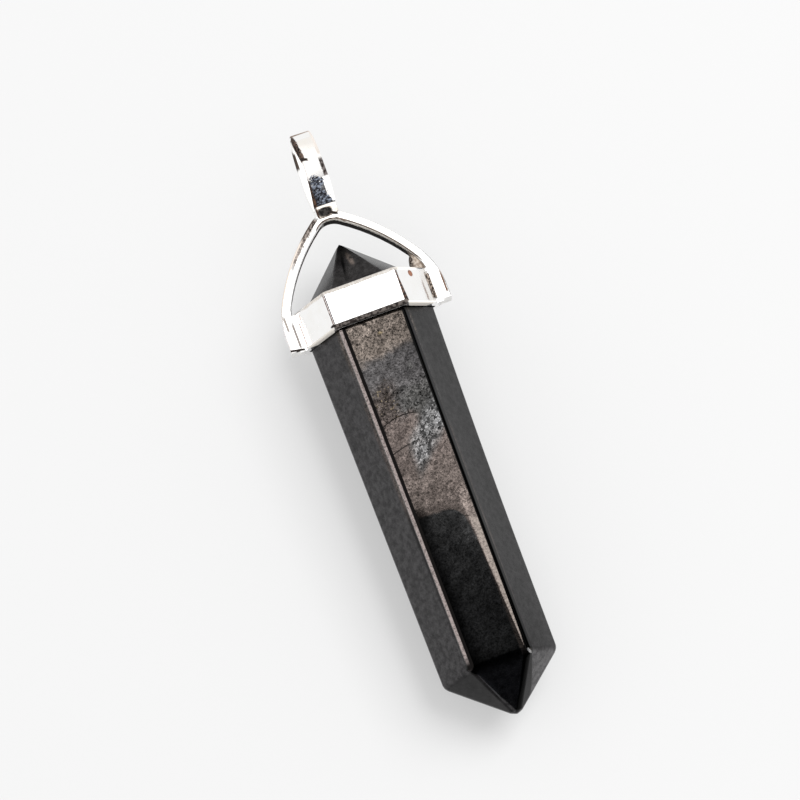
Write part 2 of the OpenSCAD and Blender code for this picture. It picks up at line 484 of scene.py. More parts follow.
def castParts():
    # the shapes that the casting is made of, still apart
    c = capSize
    arch, crownY = makeArch()
    turn = Matrix.Rotation(math.radians(c["loopTurn"]), 4, "Y")
    foot = makeFoot(crownY)
    loop = makeLoop(crownY)
    for part, shift in ((foot, c["footShift"]), (loop, c["loopShift"])):
        bmesh.ops.transform(part, matrix=Matrix.Translation((shift, 0, 0)) @ turn, verts=part.verts[:])
    waist = (0, crownY + c["widePlace"], 0)
    bmesh.ops.rotate(loop, cent=waist, matrix=Matrix.Rotation(math.radians(c["loopLean"]), 3, "Z"),
                     verts=loop.verts[:])
    bead = bmesh.new()
    place = Matrix.Translation(c["beadPlace"]) @ Matrix.Diagonal((*c["beadSize"], 1))
    bmesh.ops.create_icosphere(bead, subdivisions=3, radius=1, matrix=place)
    runs = []
    for side in (-1, 1):
        run = bmesh.new()
        bmesh.ops.create_cube(run, size=1)
        bmesh.ops.scale(run, vec=c["runSize"], verts=run.verts[:])
        bmesh.ops.translate(run, vec=(side * c["runPlace"][0], *c["runPlace"][1:]), verts=run.verts[:])
        runs.append(run)
    return [arch, makeCollar(), foot, loop, bead] + runs


def creasedNormals(bm, crease):
    # larger faces count for more, so flats stay flat up to their roundings
    limit = math.cos(math.radians(crease))
    areas = {f: f.calc_area() for f in bm.faces}
    normals = []
    for face in bm.faces:
        for loop in face.loops:
            like = [f for f in loop.vert.link_faces if f.normal.dot(face.normal) > limit] or [face]
            normals.append(sum((f.normal * areas[f] for f in like), Vector()).normalized())
    return normals


def makeCap():
    parts = [meshObject("part", part) for part in castParts()]
    piece = parts.pop(0)
    piece.name = "cast_cap"
    for part in parts:
        cast = piece.modifiers.new("cast", "BOOLEAN")
        cast.operation = "UNION"
        cast.solver = "EXACT"
        cast.object = part
    applyModifiers(piece)
    for part in parts:
        bpy.data.objects.remove(part)

    bm = bmesh.new()
    bm.from_mesh(piece.data)
    bmesh.ops.remove_doubles(bm, verts=bm.verts[:], dist=1e-4)
    bmesh.ops.transform(bm, matrix=lay, verts=bm.verts[:])
    bm.normal_update()
    normals = creasedNormals(bm, capSize["crease"])
    bm.to_mesh(piece.data)
    bm.free()
    smoothFaces(piece.data)
    piece.data.normals_split_custom_set(normals)
    return piece


# Shader wiring

class Wire:
    # a shader socket that can stand in a sum

    def __init__(self, tree, socket=None):
        self.tree = tree
        self.socket = socket

    def node(self, kind, settings=None, inputs=None, output=0):
        made = self.tree.nodes.new(kind)
        for name, value in (settings or {}).items():
            setattr(made, name, value)
        for name, value in (inputs or {}).items():
            if isinstance(value, Wire):
                self.tree.links.new(value.socket, made.inputs[name])
            else:
                made.inputs[name].default_value = value
        return Wire(self.tree, made.outputs[output]) if len(made.outputs) else None

    def maths(self, operation, *values):
        return self.node("ShaderNodeMath", {"operation": operation}, dict(enumerate(values)))

    def __add__(self, other):
        return self.maths("ADD", self, other)

    def __radd__(self, other):
        return self.maths("ADD", other, self)

    def __sub__(self, other):
        return self.maths("SUBTRACT", self, other)

    def __rsub__(self, other):
        return self.maths("SUBTRACT", other, self)

    def __mul__(self, other):
        return self.maths("MULTIPLY", self, other)

    def __rmul__(self, other):
        return self.maths("MULTIPLY", other, self)

    def __truediv__(self, other):
        return self.maths("DIVIDE", self, other)

    def __rtruediv__(self, other):
        return self.maths("DIVIDE", other, self)

    def __pow__(self, other):
        return self.maths("POWER", self, other)

    def __abs__(self):
        return self.maths("ABSOLUTE", self)

    def over(self, low, high):
        # 0 below low, 1 above high, smooth between; low may be the larger of the two
        return self.node("ShaderNodeMapRange", {"interpolation_type": "SMOOTHSTEP"},
                         {"Value": self, "From Min": low, "From Max": high})

    def larger(self, other):
        return self.maths("MAXIMUM", self, other)

    def below(self, other):
        return self.maths("MINIMUM", self, other)

    def scaled(self, colour):
        # the colour made lighter or darker by this wire
        return self.node("ShaderNodeVectorMath", {"operation": "SCALE"}, {0: colour, "Scale": self})

    def mix(self, first, second):
        # this wire is the share of the second colour
        return self.node("ShaderNodeMix", {"data_type": "RGBA"}, {0: self, 6: first, 7: second}, 2)

    def grain(self, scale, detail=2.0, roughness=0.5, distortion=0.0):
        return self.node("ShaderNodeTexNoise", None, {
            "Vector": self, "Scale": scale, "Detail": detail, "Roughness": roughness,
            "Distortion": distortion})

    def spot(self, place, size, turn=0.0):
        # 0 in the middle of an oval, 1 at its edge
        mapped = self.node("ShaderNodeMapping", {"vector_type": "TEXTURE"}, {
            "Vector": self, "Location": place, "Rotation": (0, 0, math.radians(turn)), "Scale": size})
        return self.node("ShaderNodeVectorMath", {"operation": "LENGTH"}, {0: mapped}, 1)

    def axis(self, name):
        return self.node("ShaderNodeSeparateXYZ", None, {"Vector": self}, "XYZ".index(name))


def rgb(r, g, b):
    return (r, g, b, 1.0)


def newMaterial(name):
    material = bpy.data.materials.new(name)
    material.use_nodes = True
    tree = material.node_tree
    tree.nodes.clear()
    start = Wire(tree)
    coords = start.node("ShaderNodeTexCoord", None, None, "Object")
    # the pendant's own millimetres, as if it still stood upright
    local = start.node("ShaderNodeMapping", {"vector_type": "TEXTURE"}, {
        "Vector": coords, "Location": layPlace, "Rotation": (restTilt, 0, 0), "Scale": (mm, mm, mm)})
    return material, start, local


def finishMaterial(start, shader):
    start.node("ShaderNodeOutputMaterial", None, {"Surface": shader})


def shungiteMaterial():
    material, start, local = newMaterial("polishedShungite")
    x, y, z = (local.axis(a) for a in "XYZ")
    front = z.over(2.7, 3.1)
    slope = 0.577           # a ridge's way out for its height
    leftOf = (x + z * slope).over(0.06, -0.06)
    rightOf = (x - z * slope).over(-0.06, 0.06)

    cloud = local.grain(0.6, 3, 0.6)
    mottle = local.grain(2.6, 4, 0.65)
    fine = local.grain(7.2, 6, 0.80, 0.3)
    grit = local.grain(17.0, 2, 0.6)

    brown = rgb(0.0943, 0.0792, 0.0686)
    dimBrown = rgb(0.0466, 0.0391, 0.0356)
    lowBrown = rgb(0.0726, 0.0601, 0.0542)
    pink = rgb(0.0768, 0.0631, 0.0575)
    belt = rgb(0.0517, 0.0493, 0.0496)
    grey = rgb(0.0400, 0.0392, 0.0378)
    silver = rgb(0.1862, 0.1850, 0.1874)
    black = rgb(0.004, 0.004, 0.004)
    neutral = rgb(0.0245, 0.0245, 0.0247)
    gold = rgb(0.1978, 0.1583, 0.0931)

    # the front facet, from the collar down: brown, a blue-grey belt, brown left and grey right, pink, brown
    drift = (cloud - 0.5) * 2.2 + (mottle - 0.5) * 1.3
    level = y + drift * 0.6 - x * 0.16
    side = x + drift * 0.5
    colour = level.over(-1.75, -2.70).mix(brown, belt)
    colour = (level.over(-3.6, -4.9) * side.over(0.2, -0.9)).mix(colour, dimBrown)
    colour = (level.over(-4.4, -5.4) * side.over(-0.7, 0.3)).mix(colour, grey)
    colour = (level.over(-6.0, -6.7) * side.over(0.9, 0.0).larger(level.over(-7.7, -8.4))).mix(colour, pink)
    colour = level.over(-9.3, -10.5).mix(colour, lowBrown)
    # painted shade: its lower part is painted dark, as if unlit, up to a line that curves down along the
    # right margin
    margin = 1.46 - 0.45 / (abs(y + 12.6) + 0.05) + (mottle - 0.5) * 0.15
    litEdge = y + (mottle - 0.5) * 0.35 - x.over(-0.6, -1.9) * 0.04 + 0.09
    unlit = (y.over(-12.4, -12.62) * 0.65 + 0.42) * (0.35 + y.over(-22.85, -21.7) * 0.65)
    below = litEdge.over(-12.66, -12.90) * (x - margin).over(0.08, -0.08)
    colour = below.mix(colour, unlit.mix(rgb(0, 0, 0), neutral))
    # painted shade: the facet's left side darkens toward that line
    shade = x.over(-0.7, -1.75) * (y + (mottle - 0.5) * 0.5).over(-11.75, -12.75) * 0.8
    colour = (1 - shade).scaled(colour)

    # a silvery pitted streak that runs down from the right edge
    slanted = start.node("ShaderNodeMapping", {"vector_type": "TEXTURE"}, {
        "Vector": local, "Rotation": (0, 0, math.radians(-42)), "Scale": (1, 2.2, 1)})
    streakLine = y + 8.35 - (x - 0.3) * 0.98 + (mottle - 0.5) * 0.6
    reach = x.over(-0.95, -0.2) * x.over(2.3, 1.6)
    streak = abs(streakLine).over(1.50, 0.65) * reach
    bright = local.spot((0.02, -8.95, 3.4), (0.56, 0.92, 50), -38).over(1.0, 0.3).larger(
        local.spot((1.74, -7.30, 3.4), (0.40, 0.85, 50), -14).over(1.0, 0.2))
    colour = (streak * 0.8).mix(colour, rgb(0.112, 0.111, 0.111))
    colour = (bright * (0.52 + x.over(1.3, 1.7) * 0.40)).mix(colour, silver)
    lightPatch = local.spot((1.18, -3.55, 3.4), (0.28, 0.36, 50), -30).over(1.0, 0.1)
    colour = (lightPatch * 0.6).mix(colour, rgb(0.135, 0.132, 0.128))

    # crumbs and pits, coarser where the streak is and just below the collar
    coarse = streak.larger(y.over(-3.0, -0.4)).larger(level.over(-4.0, -5.0) * level.over(-6.6, -6.2))
    lumps = local.grain(3.7, 5, 0.72, 0.8).over(0.36, 0.60)
    crumbs = 0.90 + (fine.over(0.38, 0.60) - 0.55) * (0.85 + coarse * 0.35)
    crumbs = crumbs + (lumps - 0.55) * (0.42 + coarse * 0.45)
    crumbs = crumbs * (0.70 + grit.over(0.34, 0.66) * 0.60) * (0.78 + mottle.over(0.3, 0.7) * 0.44)
    sweep = slanted.grain(1.3, 5, 0.65, 0.6).over(0.36, 0.62) * 0.60 + 0.70
    colour = (crumbs * sweep).scaled(colour)
    pits = local.grain(4.6, 3, 0.7).over(0.425, 0.37) * (0.22 + coarse * 0.62)
    pits = pits.larger(slanted.grain(5.0, 2, 0.6).over(0.50, 0.43) * streak * 0.8)
    colour = pits.mix(colour, black)
    yellowish = level.over(-3.8, -4.6) * level.over(-6.6, -6.2) * x.over(-0.2, -0.7)
    specks = local.grain(6.4, 2, 0.5).over(0.64, 0.69) * yellowish
    golden = local.spot((0.16, -0.95, 3.5), (0.24, 0.15, 50)).over(1.0, 0.3) * fine.over(0.46, 0.54)
    colour = (golden.larger(specks * 0.6) * 0.8).mix(colour, gold)

    # two hairline cracks
    upperCrack = thinArc(x, y, mottle, -0.35, -6.34, -0.17) * (1 - x.over(0.1, 0.9) * 0.7)
    lowerCrack = thinArc(x, y, mottle, -0.15, -8.20, -0.12) * x.over(-0.4, -0.7)
    crack = upperCrack.larger(lowerCrack)
    colour = (crack * 0.85).mix(colour, black)

    # the other facets are even, with a faint mottle and a few fine scratches
    even = (mottle.over(0.3, 0.7) * 0.6 + grit.over(0.3, 0.7) * 0.4).mix(
        rgb(0.0105, 0.0100, 0.0105), rgb(0.0690, 0.0670, 0.0685))
    # painted light and shade: the left side facets are painted lighter and the right ones darker, and on the
    # lower point the left facets darker and the right ones much lighter
    even = (leftOf * 0.18 + rightOf * -0.36 + 1).scaled(even)
    low = y.over(-22.75, -23.1)
    even = (1 - low * leftOf * 0.73 + low * rightOf * 2.35).scaled(even)
    tipFront = y.over(2.2, 2.6) * (1 - leftOf) * (1 - rightOf)
    dark = local.spot((-0.40, 4.30, 1.5), (0.15, 1.25, 50), -10).over(1.0, 0.2)
    patch = local.spot((0.13, 4.55, 1.4), (0.26, 0.70, 50), 8).over(1.0, 0.2) * mottle.over(0.3, 0.6)
    streaky = 0.20 + dark * 0.85 + fine.over(0.6, 0.4) * 0.40
    even = (1.35 - tipFront * streaky - (1 - tipFront) * 0.35).scaled(even)
    even = (patch * tipFront).mix(even, rgb(0.215, 0.180, 0.160))
    scratch = local.spot((2.72, -17.65, 2.2), (0.75, 0.022, 50), -37).over(1.0, 0.2).larger(
        local.spot((3.24, -16.8, 1.3), (0.42, 0.02, 50), 88).over(1.0, 0.2) * 0.7)
    even = (scratch * 0.30).mix(even, rgb(0.14, 0.14, 0.14))
    # the flat that wear left on the left ridge and the polish along the right margin show as speckled
    # strips: the speckle is their own, their paleness a painted highlight where they catch the light
    edge = 2.066 + y * 0.00644      # half the front facet's width
    nearLeft = x + edge
    nearRight = x - edge + 0.062 * (1 - ((y + 10.4) / 12.5) ** 2)
    strip = nearLeft.over(-0.19, -0.15) * nearLeft.over(0.20, 0.10)
    strip = strip * z.over(2.4, 2.7) * y.over(-22.6, -21.8)
    stripHighlight = (fine.over(0.40, 0.54) * 0.95).mix(rgb(0.066, 0.062, 0.061), rgb(0.172, 0.164, 0.161))
    sliver = (x - 1.30 + (y + 14) * 0.0453 + (fine - 0.5) * 0.14).over(-0.02, 0.06)
    sliver = sliver * y.over(-13.4, -14.2) * front
    sliverHighlight = (fine.over(0.38, 0.56) * 0.9).mix(rgb(0.060, 0.051, 0.046), rgb(0.155, 0.134, 0.119))
    colour = front.mix(even, colour)
    colour = strip.mix(colour, stripHighlight)
    colour = (sliver * 0.8).mix(colour, sliverHighlight)
    # painted shade: black along each ridge, where the rounding turns away from the light; black also fills a
    # spot at the front facet's lower left corner
    body = y.over(-23.0, -22.7) * y.over(2.0, 1.9) * z.over(2.4, 2.7)
    ridgeShade = nearRight.over(-0.16, -0.11) * nearRight.over(0.27, 0.23)
    ridgeShade = ridgeShade.larger(nearLeft.over(0.04, 0.08) * nearLeft.over(0.30, 0.26)) * body
    corner = local.spot((-2.00, -22.66, 3.2), (0.18, 0.20, 1.0)).over(1.4, 0.5)
    colour = ridgeShade.larger(corner).mix(colour, black)

    # painted shade on the lower point: black over the right ridge, as if the middle facet reached over it,
    # and dark grey over the left ridge, as if the left facet reached over it
    over = y + 24.6
    tipRightShade = (x - (abs(y + 26.1) * 1.35) ** 0.5).over(0.05, -0.05) * (x - z * slope).over(-0.32, -0.22)
    tipLeftShade = (x + 0.74 + over.larger(0) ** 2 * 0.434 - over.below(0) ** 2 * 0.176).over(0.04, -0.04)
    tipLeftShadeColour = mottle.mix(rgb(0.045, 0.045, 0.047), rgb(0.075, 0.075, 0.078))
    colour = (low * tipRightShade * z.over(0, 0.3)).mix(colour, black)
    colour = (low * tipLeftShade * (1 - leftOf) * z.over(0, 0.3)).mix(colour, tipLeftShadeColour)

    # dust, and a pale chipped spot where the right ridge ends, its paleness a painted highlight
    cells = local.node("ShaderNodeTexVoronoi", None, {"Vector": local, "Scale": 1.7})
    pick = local.node("ShaderNodeTexVoronoi", None, {"Vector": local, "Scale": 1.7}, "Color").axis("X")
    dust = cells.over(0.05, 0.03) * pick.over(0.72, 0.78) * (1 - front * y.over(-12.5, -12.0))
    chipGlint = local.spot((1.90, -22.90, 2.9), (0.10, 0.20, 50), 24).over(1.0, 0.7)
    colour = (dust * 0.12).mix(colour, rgb(0.5, 0.5, 0.5))
    colour = chipGlint.mix(colour, rgb(0.75, 0.74, 0.73))

    lowFront = low * (1 - leftOf) * (1 - rightOf)
    roughness = 0.03 + (1 - front) * (0.22 - lowFront * 0.12) + bright * 0.10 + chipGlint * 0.5
    height = fine.over(0.34, 0.46) * 0.5 - crack * 1.2 - pits * 0.8 + bright * grit * 0.6
    height = height * front * y.over(-13.1, -12.8)
    bump = start.node("ShaderNodeBump", None, {"Strength": 0.35, "Distance": 4e-6, "Height": height})
    shader = start.node("ShaderNodeBsdfPrincipled", None, {
        "Base Color": colour, "Roughness": roughness, "Metallic": 1.0, "Normal": bump})
    finishMaterial(start, shader)
    return material


def thinArc(x, y, wobble, middle, top, bend):
    line = y - top - (x - middle) ** 2 * bend + (wobble - 0.5) * 0.12
    return abs(line).over(0.05, 0.015)


def silverMaterial():
    material, start, local = newMaterial("silverPlate")
    x, y, z = (local.axis(a) for a in "XYZ")
    fine = local.grain(9.0, 3, 0.65)
    soft = local.grain(1.6, 2, 0.5)
    pitted = local.grain(7.0, 4, 0.7).over(0.42, 0.54)
    specked = local.grain(5.0, 3, 0.6).over(0.44, 0.56)
    tarAndShade = rgb(0.022, 0.017, 0.015)
    soot = rgb(0.060, 0.046, 0.038)
    tan = rgb(0.47, 0.38, 0.31)
    cream = rgb(0.84, 0.80, 0.74)
    pearl = rgb(0.94, 0.93, 0.91)
    plate = soft.over(0.35, 0.7).mix(rgb(0.985, 0.98, 0.97), rgb(0.965, 0.955, 0.935))

    # tarnish and the painted reflections and shade are dull, the plate under them is not: each mark has a
    # share and a colour, and covers those before
    wearAndShade = {"colour": plate, "dull": soft * 0}

    def mark(share, tint):
        wearAndShade["colour"] = share.mix(wearAndShade["colour"], tint)
        wearAndShade["dull"] = wearAndShade["dull"].larger(share)

    # the arch's two branches: each follows a circle round a middle on the other side, and the crown its own
    middleX, middleY, crownMiddle = 6.64, -2.79, 6.35
    straight = x - capSize["lean"] * (y / 8.05) ** 2
    right = ((straight + middleX) ** 2 + (y - middleY) ** 2) ** 0.5
    left = ((middleX - straight) ** 2 + (y - middleY) ** 2) ** 0.5
    crown = (straight ** 2 + (y - crownMiddle) ** 2) ** 0.5
    atCrown = y.over(6.95, 7.05) * abs(straight).over(1.10, 0.90)
    branch = y.over(2.8, 3.4) * y.over(7.95, 7.7)
    isRight = x.over(0.20, 0.35) * branch
    isLeft = x.over(-0.5, -0.8) * branch
    ends = x.over(-0.7, -1.0) * x.over(-3.7, -3.1)
    # painted reflection: the inner faces of the right branch and the crown are painted cream, and the left
    # branch's white, with dark tarnish along their back edges
    inner = (right.over(12.60, 12.54) * isRight).larger(crown.over(1.25, 1.20) * atCrown)
    mark(inner, cream)
    mark(inner * (z + (fine - 0.5) * 0.8).over(0.46, 0.36),
         specked.mix(rgb(0.016, 0.013, 0.011), rgb(0.004, 0.003, 0.003)))
    mark(left.over(12.58, 12.53) * isLeft, rgb(0.98, 0.975, 0.965))
    mark(left.over(12.60, 12.54) * isLeft * z.over(0.12, 0.02),
         specked.mix(rgb(0.050, 0.036, 0.030), rgb(0.012, 0.009, 0.008)))
    # a fine line along the front edge of the right branch and round the crown
    frontEdge = z.over(0.66, 0.70)
    mark(abs(right - 12.50).over(0.055, 0.035) * frontEdge * isRight,
         specked.mix(rgb(0.11, 0.085, 0.07), soot))
    mark(abs(crown - 1.19).over(0.055, 0.035) * frontEdge * atCrown,
         specked.mix(rgb(0.16, 0.12, 0.10), soot))
    # tarnish along the outside of the left branch
    tanned = left.over(12.58, 12.74) * z.over(0.6, 0.7) * x.over(-1.2, -1.5) * x.over(-3.2, -2.4) * branch
    mark(tanned * (0.15 + specked * 0.55), tan)
    pale = specked * 0.6 + x.over(-2.5, -1.8) * 0.4
    mark(left.over(12.70, 12.75) * z.over(0.3, 0.5) * branch * ends * (y + fine).over(4.4, 4.9),
         pale.mix(rgb(0.36, 0.31, 0.28), tarAndShade))
    mark(local.spot((-3.28, 5.86, 0.75), (0.17, 0.13, 0.4), 45).over(1.2, 0.7), tarAndShade)
    mark(left.over(12.90, 12.93) * z.over(0.1, 0.3) * branch * ends, soot)
    mark(abs(left - 12.66).over(0.035, 0.01) * z.over(0.7, 0.75) * branch * ends * fine.over(0.48, 0.52),
         soot)
    mark(left.over(12.88, 12.91) * z.over(0.55, 0.65) * y.over(7.0, 6.6) * x.over(-1.5, -2.0),
         rgb(0.62, 0.55, 0.49))

    # legs: painted shade in the pitted gap between the right leg and the collar, a brown outer edge on the
    # right, fine lines and a dark end on the left
    low = y.over(0.3, 0.5)
    notchShade = x.over(4.13, 4.19) * x.over(4.50, 4.44) * z.over(0.2, 0.4)
    mark(notchShade * low * (y + (fine - 0.5)).over(2.25, 2.05),
         specked.mix(rgb(0.30, 0.25, 0.21), rgb(0.030, 0.022, 0.018)))
    mark(x.over(5.10, 5.14) * x.over(5.26, 5.22) * z.over(0.5, 0.65) * y.over(0.5, 0.7) * y.over(2.6, 1.6),
         rgb(0.13, 0.075, 0.050))
    mark(abs(x + 4.65).over(0.085, 0.060) * z.over(0.70, 0.74) * low * y.over(2.2, 1.8),
         rgb(0.24, 0.215, 0.20))
    mark(abs(x + 5.02).over(0.085, 0.060) * z.over(0.7, 0.75) * y.over(1.5, 1.7) * y.over(2.7, 2.4),
         rgb(0.28, 0.25, 0.225))
    mark(y.over(0.30, 0.27) * abs(x).over(4.4, 4.5), rgb(0.95, 0.94, 0.92))
    heel = y + (x + 4.9) * 0.20
    mark(heel.over(0.40, 0.37) * heel.over(0.23, 0.25) * x.over(-4.40, -4.50) * z.over(0.3, 0.6), tarAndShade)

    # collar: a cream rim, the spot, painted shade in brown along the front facet's ridges and under its
    # lower rim, and cream along the side facets' lower rims as a painted reflection
    facing = z.over(3.85, 4.0)
    creamy = fine.over(0.3, 0.7).mix(rgb(0.86, 0.83, 0.79), rgb(0.58, 0.52, 0.46))
    mark((y + (soft - 0.5) * 0.15).over(2.32, 2.38) * z.over(1.5, 2.2) * y.over(2.7, 2.65),
         (1 - facing * 0.40).scaled(creamy))
    mark(local.spot((3.27, 2.11, 2.69), (0.17, 0.23, 0.5)).over(1.1, 0.8),
         specked.mix(rgb(0.24, 0.115, 0.075), rgb(0.11, 0.050, 0.033)))
    # painted shade: dark lines along the front facet's ridge roundings, where they turn away from the light
    reach = y.over(0.15, 0.3) * y.over(2.50, 2.30) * facing
    mark(abs(x + 2.43).over(0.042, 0.022) * reach * fine.over(0.36, 0.42), rgb(0.085, 0.050, 0.040))
    spread = 2.5 - y            # the right ridge's line widens downward
    mark((abs(x - 2.36 - spread * 0.020) - spread * 0.050).over(0.035, 0.010) * reach,
         specked.mix(rgb(0.11, 0.07, 0.055), tarAndShade))
    mark(local.spot((-2.48, 0.34, 4.1), (0.22, 0.09, 0.5)).over(1.2, 0.7), tarAndShade)
    # painted shade under the front facet's lower rim
    lowRimShade = y.over(0.41, 0.36) * abs(x).over(2.50, 2.40) * z.over(3.6, 3.8)
    mark(lowRimShade, specked.mix(rgb(0.100, 0.088, 0.080), rgb(0.016, 0.013, 0.012)))
    # painted reflection: cream along the lower rims of the side facets
    mark(y.over(0.26, 0.22) * abs(x).over(2.45, 2.50) * abs(x).over(4.45, 4.40) * z.over(1.0, 1.2),
         rgb(0.80, 0.76, 0.70))
    # the bead of run metal in the window's corner
    bead = local.spot((3.96, 3.06, 0.2), (0.52, 0.98, 1.2)).over(1.08, 0.95)
    bead = bead * z.over(0.70, 0.66) * y.over(2.58, 2.64)
    mark(bead, specked.mix(rgb(0.47, 0.41, 0.35), rgb(0.27, 0.22, 0.18)))
    mark(local.spot((3.64, 3.40, 0.4), (0.24, 0.50, 2)).over(1.2, 0.6) * bead * pitted, tarAndShade)

    # foot: its front is painted as a reflection, dark in the middle and along its left and lower edges, pale
    # at the upper right and cream along the top
    foot = z.over(0.80, 0.84) * y.over(7.55, 7.65) * y.over(8.55, 8.45)
    mark(foot, specked.mix(rgb(0.56, 0.50, 0.44), rgb(0.20, 0.16, 0.135)))
    mark(foot * x.over(0.05, 0.25) * y.over(7.80, 7.90),
         specked.mix(rgb(0.92, 0.89, 0.84), rgb(0.60, 0.53, 0.46)))
    mark(y.over(8.26, 8.34) * foot, rgb(0.84, 0.79, 0.72))
    # painted shade: the dark middle stands for the dark that the foot reflects
    mark(local.spot((-0.26, 8.02, 0.95), (0.48, 0.28, 0.5)).over(1.25, 0.85),
         specked.mix(rgb(0.035, 0.032, 0.030), rgb(0.008, 0.008, 0.008)))
    mark(local.spot((0.22, 7.80, 0.95), (0.34, 0.09, 0.5), -28).over(1.2, 0.8), tarAndShade)
    mark(x.over(-0.66, -0.72) * foot, rgb(0.060, 0.035, 0.025))

    # loop: painted reflection makes its front and inside a matte white, painted shade makes a dark
    # three-cornered patch near its top and a dark band along the front band's left rim, and a thin brown
    # outline runs round it
    mark(z.over(1.5, 2.2) * y.over(9.7, 10.0) * y.over(13.2, 12.6),
         fine.mix(rgb(0.95, 0.93, 0.90), rgb(0.72, 0.66, 0.60)))
    inside = (((z / 1.72) ** 2 + ((y - 11.05) / 2.24) ** 2) ** 0.5).over(1.0, 0.95) * y.over(9.6, 10.0)
    mark(inside, pearl)
    mark(z.over(0.15, -0.05) * y.over(8.45, 8.60) * y.over(10.2, 9.9), pearl)
    wedgeShade = inside * (x + (y - 13.3) * 0.20).over(-0.74, -0.68) * y.over(11.7, 12.0)
    mark(wedgeShade, specked.mix(rgb(0.13, 0.085, 0.065), rgb(0.012, 0.009, 0.008)))
    leftRimShade = x - z * 0.06 + (y - 11.9) * 0.06 + (fine - 0.5) * 0.25
    mark(leftRimShade.over(-0.44, -0.50) * z.over(0.2, 0.4) * y.over(11.25, 11.35) * y.over(13.35, 13.2),
         specked.mix(rgb(0.11, 0.075, 0.060), rgb(0.010, 0.008, 0.007)))
    mark(abs(y - 11.27 + x * 0.35).over(0.12, 0.07) * x.over(-0.10, -0.24) * z.over(1.0, 1.2), tarAndShade)
    mark(x.over(-0.62, -0.67) * z.over(-0.8, -1.0) * y.over(11.4, 11.7) * y.over(12.9, 12.6), soot)
    rightRim = x + (fine - 0.5) * 0.15
    mark(rightRim.over(0.43, 0.48) * z.over(0.9, 1.1) * y.over(9.55, 9.75) * y.over(11.35, 11.05),
         specked.mix(rgb(0.12, 0.105, 0.10), tarAndShade))
    mark((y + z * 0.199).over(13.38, 13.41) * z.over(-0.6, -0.2),
         (x + 0.3).mix(rgb(0.22, 0.17, 0.14), rgb(0.40, 0.34, 0.30)))
    mark(x.over(0.50, 0.56) * y.over(11.3, 11.6) * z.over(0, 0.3) * 0.5, tan)
    mark(x.over(0.24, 0.30) * y.over(8.45, 8.55) * y.over(10.1, 9.9) * z.over(0.2, 0.5),
         rgb(0.95, 0.93, 0.91))
    # the blue-black foot, a painted dark reflection, with a ragged border
    wobble = (soft - 0.5) * 0.3 + (fine - 0.5) * 1.1
    border = y + x * 0.5 + x ** 2 * 1.2 + wobble
    sideways = x - abs(y - 9.41) * 0.55 + wobble * 0.7
    strapReflection = border.over(10.18, 10.08) * y.over(8.42, 8.52) * z.over(0.2, 0.5) * sideways.over(0.12, 0.04)
    cloudy = local.grain(6.0, 5, 0.7).over(0.44, 0.70)
    bluish = cloudy * (x + y * 0.15).over(0.55, 1.25)
    mark(strapReflection, bluish.mix(rgb(0.010, 0.010, 0.012), rgb(0.30, 0.34, 0.42)))
    mark(strapReflection * fine.over(0.60, 0.66) * y.over(9.2, 9.6), rgb(0.62, 0.62, 0.62))
    mark(x.over(-0.56, -0.62) * z.over(0.25, 0.45) * y.over(8.42, 8.52) * y.over(10.4, 10.1),
         specked.mix(rgb(0.10, 0.055, 0.035), tarAndShade))

    colour, dull = wearAndShade["colour"], wearAndShade["dull"]
    height = soft + fine * 0.06
    bump = start.node("ShaderNodeBump", None, {"Strength": 0.25, "Distance": 1.2e-5, "Height": height})
    shader = start.node("ShaderNodeBsdfPrincipled", None, {
        "Base Color": colour, "Roughness": 0.10 + dull * 0.80, "Metallic": 1 - dull,
        "Specular IOR Level": 0.1, "Normal": bump})
    finishMaterial(start, shader)
    return material


# Studio

photoView = {
    "pitch": 10.75,
    "yaw": -3.35,
    "roll": -20.0,
    "away": 700.0,
    "aim": (0, -6.6, 0),
    "slide": (-0.61, 1.733, 0),
    "lens": 504.1,
}


def setCamera():
    v = photoView
    turn = Matrix.Identity(3)
    for angle, axis in ((v["pitch"], "X"), (v["yaw"], "Y"), (v["roll"], "Z")):
        turn = turn @ Matrix.Rotation(math.radians(angle), 3, axis)
    place = Vector(v["aim"]) + turn @ (Vector(v["slide"]) + Vector((0, 0, v["away"])))
    data = bpy.data.cameras.new("photoCamera")
    data.lens = v["lens"]
    data.sensor_width = 36
    data.clip_start = 0.01
    camera = bpy.data.objects.new("photoCamera", data)
    bpy.context.scene.collection.objects.link(camera)
    camera.matrix_world = Matrix.LocRotScale(lay @ place, restTurn.to_3x3() @ turn, None)
    bpy.context.scene.camera = camera
    return camera


def addLamp(name, place, size, power, turn=None, shiny=True, diffuse=True):
    # without a turn it faces the pendant
    data = bpy.data.lights.new(name, "AREA")
    data.shape = "RECTANGLE"
    data.size, data.size_y = size
    data.energy = power
    lamp = bpy.data.objects.new(name, data)
    bpy.context.scene.collection.objects.link(lamp)
    lamp.location = place
    if turn is None:
        lamp.rotation_euler = Vector(place).to_track_quat("Z", "Y").to_euler()
    else:
        lamp.rotation_euler = (0, 0, turn)
    lamp.visible_glossy = shiny
    lamp.visible_diffuse = diffuse
    lamp.visible_camera = False
    return lamp


